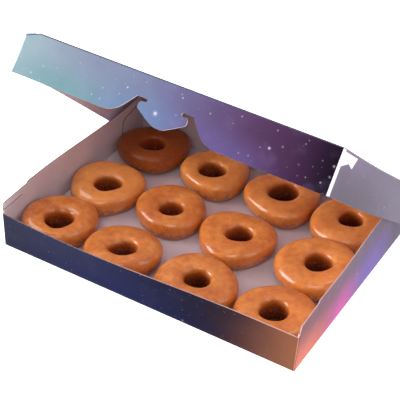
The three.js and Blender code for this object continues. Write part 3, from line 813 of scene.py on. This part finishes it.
def make_doughnut(name, own, bake_and_shade, seed, material):
    """One glazed ring: relief, tilt and pressed sides, then set down on the floor."""
    grid, out, level = smooth_ring(own, seed)
    points = grid.reshape(-1, 3)
    dough_space = points + np.array([0, 0, SEED_STEP * seed])
    points = points + grid_normals(grid).reshape(-1, 3) * skin_relief(dough_space, out, level)[:, None]
    (x, y), _, (tilt_x, tilt_y), _, _ = own
    tilt = Matrix.Rotation(math.radians(tilt_y), 3, "Y") @ Matrix.Rotation(math.radians(tilt_x), 3, "X")
    points = points @ np.array(tilt).T
    press(points, presses_on(own))
    points += np.array([x, y, BOARD + GAP - points[:, 2].min()])
    faces = tube_faces(RING_STEPS, TUBE_STEPS, closed=True)
    build = Build()
    build.add(points, dough_space, faces, ["dough"] * len(faces))
    piece = build.finish(name, {"dough": material}, sharp=180.0)
    for label, values in (("level", level), ("out", out), ("bake_and_shade", np.full(len(out), bake_and_shade))):
        attribute = piece.data.attributes.new(label, "FLOAT", "POINT")
        attribute.data.foreach_set("value", values.astype(np.float32))
    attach(piece, "base")
    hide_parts(name.replace("glazed", "doughnut"))


def make_doughnuts():
    """Every ring in its place, numbered from 1 in the order of the table."""
    glazed = dough_material("glazed_dough", GLAZED_COAT)
    # a dull copy of the dough, with little shine: painted shade for the ring in the lid's shade
    dull = dough_material("dull_dough", DULL_COAT)
    seed = 0
    for row, rings in DOUGHNUTS.items():
        for column, own in enumerate(rings):
            seed += 1
            bake_and_shade = BAKE_AND_SHADE[row][column]
            material = dull if bake_and_shade > DULL_FROM else glazed
            make_doughnut(f"glazed_{row}_{column + 1}", own, bake_and_shade, seed, material)


# ---- materials ----
def add_stars(look, place, spacing, size, share, seed, glow):
    """Small round specks, one in each cell of a share of the cells."""
    sheet = look.shifted(place, seed * 37.1, seed * 19.7)
    inputs = {"Vector": sheet, "Scale": 1 / spacing}
    cells = look.node("TexVoronoi", inputs, voronoi_dimensions="2D")
    pick = look.parts(cells.outputs["Color"])
    shown = look.step(pick[0], 1 - share, 1 - share + 0.02)
    smallest = 0.35 * size / spacing
    radius = look.line(look.math("POWER", pick[1], 3.0), size / spacing, smallest)
    away = look.math("DIVIDE", cells.outputs["Distance"], radius)
    core = look.step(away, 1.0, 0.35)
    halo = look.times(look.step(away, 2.4, 0.6), 0.25)
    spot = look.times(look.math("ADD", core, halo, clamp=True), shown)
    look.tint(spot, look.step(pick[2], 0.0, 1.0, 0.3 * glow, glow), (235, 228, 250))


def add_field(look, u, v, field):
    """A soft oval field of colour: centre, half lengths, screen colour and strength."""
    (centre_u, centre_v), (reach_u, reach_v), tone, strength = field
    across = look.line(u, 1 / reach_u, -centre_u / reach_u)
    up = look.line(v, 1 / reach_v, -centre_v / reach_v)
    away = look.math("SQRT", look.line(up, up, look.times(across, across)))
    look.tint(look.step(away, 1.0, 0.0), strength, tone)


def add_crease_shade(look, u, v, start, end):
    """Painted shade along a fold in the board: a thin dark straight line from start to end, both (u, v) on
    the panel.
    """
    half_width = 0.5
    length = math.dist(start, end)
    way_u, way_v = (end[0] - start[0]) / length, (end[1] - start[1]) / length
    off_u, off_v = look.math("SUBTRACT", u, start[0]), look.math("SUBTRACT", v, start[1])
    along = look.line(off_u, way_u, look.times(off_v, way_v))
    aside = look.line(off_u, -way_v, look.times(off_v, way_u))
    near = look.step(look.math("ABSOLUTE", aside), half_width * 1.6, half_width * 0.4)
    ahead = look.step(along, -half_width, half_width)
    behind = look.step(along, length + half_width, length - half_width)
    look.tint(look.times(near, look.times(ahead, behind)), 0.65, (70, 44, 66))


def print_material(
    name, along, run, fields, seed, stars=(24.0, 1.0, 0.5), glow=0.6, cloudy=0.5, worn=None, crease_shade=()
):
    """A glossy print: a run of colours along the panel, soft fields of colour on it, and fine stars.

    stars: spacing, size and share of the cells with a star. worn: a rubbed end, from where, to where and
    its colour. crease: the corners (u, v) of a bent line of painted shade along a fold in the board.
    """
    look = Look(name)
    place = look.place()
    start, end = along
    sheet = look.shifted(place, seed * 53.0, seed * 91.0)
    drift = look.math("SUBTRACT", look.noise(sheet, 1 / 60, 2.0, 0.45, kind="2D"), 0.5)
    u, v, _ = look.parts(place)
    warped = look.line(drift, 14.0, u)
    lifted = look.line(drift, 8.0, v)
    share = look.math("DIVIDE", look.math("SUBTRACT", warped, start), end - start, clamp=True)
    look.base = look.ramp(share, [((p - start) / (end - start), tone) for p, tone in run], "B_SPLINE")
    for field in fields:
        add_field(look, warped, lifted, field)
    cloud = look.noise(sheet, 1 / 26, 2.5, kind="2D")
    look.tint(look.step(cloud, 0.5, 0.8), 0.12 * cloudy, (190, 180, 230))
    look.tint(look.step(cloud, 0.5, 0.2), 0.2 * cloudy, (25, 20, 45))
    grain = look.step(look.noise(sheet, 1.4, roughness=0.6, kind="2D"), 0.35, 0.7, 0.0, 0.05)
    look.base = look.mix(grain, look.base, colour(200, 195, 215), "SOFT_LIGHT")
    spacing, size, shown = stars
    add_stars(look, place, spacing, size, shown, seed, glow)
    add_stars(look, place, spacing * 0.34, size * 0.42, shown, seed + 5.3, glow * 0.6)
    for corner, following in zip(crease_shade, crease_shade[1:]):
        add_crease_shade(look, u, v, corner, following)
    if worn:
        begin, full, tone = worn
        look.tint(look.step(u, begin, full), 0.7, tone)
    finish_board(look, roughness=0.32, relief=0.21, specular=0.06)
    return look


def finish_board(look, roughness, relief, specular):
    """The board's surface, with a relief of fine fibre and wide, shallow waves."""
    place = look.place()
    fibre = look.noise(place, 1.1, 3.0, 0.6)
    height = look.line(look.noise(place, 1 / 33), 1.2, look.times(fibre, 0.03))
    rough = look.step(fibre, 0.3, 0.7, roughness - 0.04, roughness + 0.06)
    look.set(Base_Color=look.base, Specular_IOR_Level=specular)
    look.set(Roughness=rough, Normal=look.bump(height, relief))


def board_material(name, tone):
    """Unprinted board: faintly cloudy, with darker fibres."""
    look = Look(name)
    place = look.place()
    fibre = look.noise(place, 0.8, 5.0, 0.65)
    cloud = look.noise(place, 1 / 45, 3.0)
    dark = colour(*(v * 0.975 for v in tone))
    light = colour(*(min(255, v * 1.01) for v in tone))
    look.base = look.mix(look.step(cloud, 0.3, 0.7), dark, light)
    look.tint(look.step(fibre, 0.42, 0.75), 0.12, [v * 0.8 for v in tone])
    finish_board(look, roughness=0.62, relief=0.12, specular=0.2)
    return look


def rim_material():
    """The walls' top edge: darker at the left and paler at the right."""
    look = board_material("rim_edge", (200, 190, 190))
    spot = look.node("TexCoord").outputs["Object"]
    across = look.line(look.parts(spot)[0], 1 / (WIDTH * MM), 0.5, clamp=True)
    fibre = look.noise(spot, 0.9 / MM, 3.0, 0.6)
    stops = [(0.0, (92, 74, 80)), (0.28, (98, 78, 84)), (0.42, (170, 126, 114)), (0.95, (196, 158, 152))]
    look.base = look.ramp(across, stops)
    look.tint(look.step(fibre, 0.35, 0.65), 0.25, (235, 205, 200))
    look.set(Base_Color=look.base)
    return look


def dough_material(name, coat):
    """Glazed dough. The mesh says how far out, how far up and how dark each point is: how it was baked, and
    painted shade on the ring in the lid's shade.
    """
    look = Look(name)
    place = look.place()
    level, out, bake_and_shade = look.number("level"), look.number("out"), look.number("bake_and_shade")
    broad = look.noise(place, 1 / 22)
    blotch = look.noise(place, 1 / 7, 2.5)
    wrinkle = look.noise(place, 1 / 3.4, distortion=0.6)
    grain = look.noise(place, 1 / 1.7)
    patches = look.line(blotch, 0.45, look.times(broad, 0.55))
    stops = [(0.28, (184, 90, 29)), (0.43, (205, 110, 40)), (0.56, (220, 131, 54)), (0.72, (238, 158, 82))]
    look.base = look.ramp(patches, stops)
    # darker toward a dark brown by how it was baked, and on the back left ring by painted shade
    look.tint(look.step(bake_and_shade, 0.0, 1.0, smooth=False), 1.0, (140, 62, 10))
    look.tint(look.step(bake_and_shade, 0.0, -1.0, smooth=False), 1.0, (250, 168, 86))
    outer_side = look.times(look.step(out, 0.55, 0.9), look.step(level, 0.8, 0.2))
    look.tint(outer_side, 0.4, (204, 108, 42))
    ragged = look.line(look.math("SUBTRACT", blotch, 0.5), 1.5, level)
    foot = look.times(look.step(ragged, 0.1, -0.4), outer_side)
    look.tint(foot, 0.65, (150, 72, 28))
    flakes = look.times(look.step(grain, 0.5, 0.68), look.step(ragged, 0.5, -0.2))
    flakes = look.times(flakes, outer_side)
    look.tint(flakes, 0.2, (250, 214, 170))
    # painted shade in the hole: darker red-brown on the hole's wall and near black low down in it
    inside = look.times(look.step(out, -0.5, -0.95), look.step(level, 0.97, 0.25))
    look.tint(inside, 0.85, (156, 56, 12))
    deep_hole_shade = look.times(look.step(out, -0.3, -0.8), look.step(level, 0.5, -0.35))
    look.tint(deep_hole_shade, 0.93, (74, 10, 0))
    look.tint(look.step(grain, 0.54, 0.74), 0.2, (246, 190, 124))
    look.tint(look.step(grain, 0.42, 0.28), 0.08, (176, 88, 34))
    relief = look.line(wrinkle, 0.4, look.times(blotch, 0.8))
    relief = look.line(grain, 0.08, relief)
    look.set(
        Base_Color=look.base,
        Roughness=look.step(blotch, 0.3, 0.7, 0.3, 0.44),
        Normal=look.bump(relief, 0.45),
        Specular_IOR_Level=0.4,
        Coat_Weight=coat,
        Coat_Roughness=0.15,
        Coat_IOR=1.45,
        Subsurface_Weight=0.12,
        Subsurface_Radius=(1.0, 0.45, 0.2),
        Subsurface_Scale=0.004,
    )
    return look.material


BOARD_TONES = {
    "board": ("plain_board", (219, 204, 210)),
    # painted shade on the floor under the doughnuts' holes
    "shade_under_hole": ("shade_under_hole_board", (112, 70, 48)),
    # painted shade on the tabs' edges, for the shaded gap between a tab and the wall
    "slit_shade": ("shaded_edge", (44, 25, 24)),
    "cut": ("cut_edge", (222, 206, 214)),
    # a thin dark line on the lid's front fold: partly print, partly painted shade
    "dark_fold": ("dark_fold", (72, 70, 94)),
    "grey_fold": ("grey_fold", (132, 124, 136)),
    "fold": ("worn_fold", (170, 160, 190)),
}


def make_materials():
    """Every surface of the carton: the prints by panel, then the bare board's tones."""
    across, tray_side, lid_side = (-WIDTH / 2, WIDTH / 2), (0, DEPTH), (0, LID_LENGTH)
    looks = {}

    def add(key, along, run, fields, **options):
        looks[key] = print_material("print_" + key, along, run, fields, len(looks) + 1, **options)

    run = [(-180, (26, 26, 48)), (-60, (12, 21, 62)), (40, (7, 10, 43))]
    run += [(96, (19, 8, 28)), (140, (90, 53, 42)), (180, (138, 86, 60))]
    fields = [((-20, 4), (170, 34), (11, 20, 70), 0.5), ((90, 40), (60, 24), (28, 18, 36), 0.5)]
    add("front", across, run, fields, glow=0.28, cloudy=0.08, worn=(178.5, 179.5, (226, 160, 138)))

    run = [(0, (112, 54, 52)), (55, (113, 65, 88)), (130, (93, 68, 93)), (270, (79, 70, 91))]
    fields = [((20, 4), (95, 46), (213, 105, 80), 1.0), ((104, 4), (62, 44), (199, 70, 157), 0.95)]
    fields.append(((172, 8), (80, 46), (112, 85, 173), 0.85))
    # painted shade along the diagonal fold of the glued front corner
    crease_shade = ((50, 56), (41, 41), (30, 36), (19, 30), (16, 17))
    worn = (0.9, -0.4, (232, 170, 150))
    add("right", tray_side, run, fields, glow=0.5, cloudy=0.3, worn=worn, crease_shade=crease_shade)

    run = [(0, (58, 62, 90)), (120, (52, 56, 100)), (270, (84, 76, 136))]
    add("left", tray_side, run, [((150, 10), (120, 50), (48, 52, 110), 0.6)], glow=0.4)

    run = [(-180, (78, 70, 130)), (0, (96, 76, 142)), (180, (122, 112, 158))]
    add("back", across, run, [((-40, 10), (150, 44), (66, 52, 112), 0.6)], glow=0.4)

    run = [(-180, (56, 62, 98)), (0, (48, 52, 94)), (180, (104, 74, 98))]
    add("under", across, run, [((60, 0), (150, 110), (56, 48, 92), 0.6)], glow=0.4)

    run = [(-180, (138, 161, 165)), (-110, (121, 125, 150)), (-40, (112, 123, 147)), (12, (101, 94, 136))]
    run += [(80, (82, 54, 86)), (140, (66, 40, 71)), (180, (5, 4, 7))]
    fields = [((-118, 48), (100, 44), (101, 143, 148), 0.8), ((-28, 50), (80, 46), (96, 122, 159), 0.8)]
    fields.append(((66, 48), (80, 34), (97, 83, 135), 0.8))
    add("lid_front", across, run, fields, stars=(31.0, 1.8, 0.55), cloudy=0.35)

    run = [(0, (106, 104, 146)), (140, (116, 146, 178)), (277, (166, 202, 208))]
    add("lid_left", lid_side, run, [((220, 40), (120, 40), (130, 186, 196), 0.6)])

    run = [(-180, (150, 188, 200)), (-90, (128, 142, 194)), (10, (104, 82, 150))]
    run += [(100, (78, 54, 104)), (180, (56, 42, 72))]
    fields = [((-120, 60), (150, 110), (86, 110, 168), 0.7), ((70, 190), (160, 110), (66, 52, 108), 0.7)]
    add("lid_top", across, run, fields, stars=(26.0, 1.3, 0.55))

    run = [(0, (92, 84, 107)), (130, (89, 75, 102)), (277, (92, 75, 102))]
    fields = [((200, 46), (190, 46), (56, 46, 68), 0.8), ((230, 2), (90, 20), (110, 87, 126), 0.5)]
    add("lid_right", lid_side, run, fields, glow=0.4, cloudy=0.2)
    add_pale_field_and_fold_highlight(looks["lid_right"])

    for key, (name, tone) in BOARD_TONES.items():
        looks[key] = board_material(name, tone)
    looks["rim"] = rim_material()
    return {key: look.material for key, look in looks.items()}


def add_pale_field_and_fold_highlight(look):
    """A near-white field by the lid's right front fold, and a painted highlight along the fold."""
    from_hinge, down, _ = look.parts(look.place())
    # the pale field: a shallow V below, a slanted end, and printed board above it
    tip, tip_depth, slope_to_fold, slope_to_hinge = 252.0, 11.0, 0.286, -0.214
    end, end_slant = 229.5, 0.61
    beyond_tip = look.math("SUBTRACT", from_hinge, tip)
    to_fold = look.line(beyond_tip, slope_to_fold, tip_depth)
    to_hinge = look.line(beyond_tip, slope_to_hinge, tip_depth)
    lower_edge = look.math("MAXIMUM", to_fold, to_hinge)
    above = look.step(look.math("SUBTRACT", lower_edge, down), -0.3, 0.3)
    end_here = look.line(down, end_slant, end)
    past_end = look.step(look.math("SUBTRACT", from_hinge, end_here), -0.5, 0.5)
    under_print = look.step(down, 2.0, 2.5)
    field = look.times(look.times(above, past_end), under_print)
    look.tint(field, 1.0, (246, 240, 250))
    # painted highlight: a light line along the front fold
    look.tint(look.step(from_hinge, 270.5, 272.5), 0.92, (244, 236, 246))
    look.set(Base_Color=look.base)


# ---- stage ----
def make_stage():
    mesh = bpy.data.meshes.new("floor")
    half, z = STAGE_HALF, STAGE_Z
    corners = [(-half, -half, z), (half, -half, z), (half, half, z), (-half, half, z)]
    mesh.from_pydata(corners, [], [(0, 1, 2, 3)])
    look = Look("pale_floor")
    look.set(Base_Color=(0.9, 0.9, 0.9, 1), Roughness=0.9)
    look.set(Emission_Color=(1, 1, 1, 1), Emission_Strength=0.86)
    mesh.materials.append(look.material)
    floor = bpy.data.objects.new("floor", mesh)
    scene = bpy.context.scene
    scene.collection.objects.link(floor)
    scene.view_settings.view_transform = "Standard"
    scene.world = bpy.data.worlds.new("studio")
    scene.world.use_nodes = True
    background = scene.world.node_tree.nodes["Background"]
    background.inputs["Color"].default_value = (1.0, 0.985, 0.97, 1)
    background.inputs["Strength"].default_value = 0.03


def add_lamp(name, azimuth, elevation, size, power):
    """A soft square lamp on a sphere round the box. Azimuth 0 is +X and 90 is +Y, in degrees."""
    data = bpy.data.lights.new(name, "AREA")
    data.shape = "SQUARE"
    data.size = size
    data.energy = power
    lamp = bpy.data.objects.new(name, data)
    turn, rise = math.radians(azimuth), math.radians(elevation)
    way = Vector((math.cos(turn) * math.cos(rise), math.sin(turn) * math.cos(rise), math.sin(rise)))
    lamp.location = Vector(LAMP_AIM) + way * LAMP_DISTANCE
    lamp.rotation_mode = "QUATERNION"
    lamp.rotation_quaternion = way.to_track_quat("Z", "Y")
    bpy.context.scene.collection.objects.link(lamp)


def make_lights():
    """Six soft lamps. Their powers were fitted to the photograph's brightness and then rounded."""
    add_lamp("key_left", 210, 18, 1.2, 43)
    add_lamp("top_left", 168, 58, 1.3, 19)
    add_lamp("front", 290, 45, 1.0, 11)
    add_lamp("right", 357, 25, 1.0, 8.7)
    add_lamp("top_right", 20, 60, 1.0, 12)
    add_lamp("back", 88, 52, 1.0, 10.5)


# ---- everything ----
make_camera()
materials = make_materials()
make_tray(materials)
make_lid(materials)
make_doughnuts()
make_stage()
make_lights()
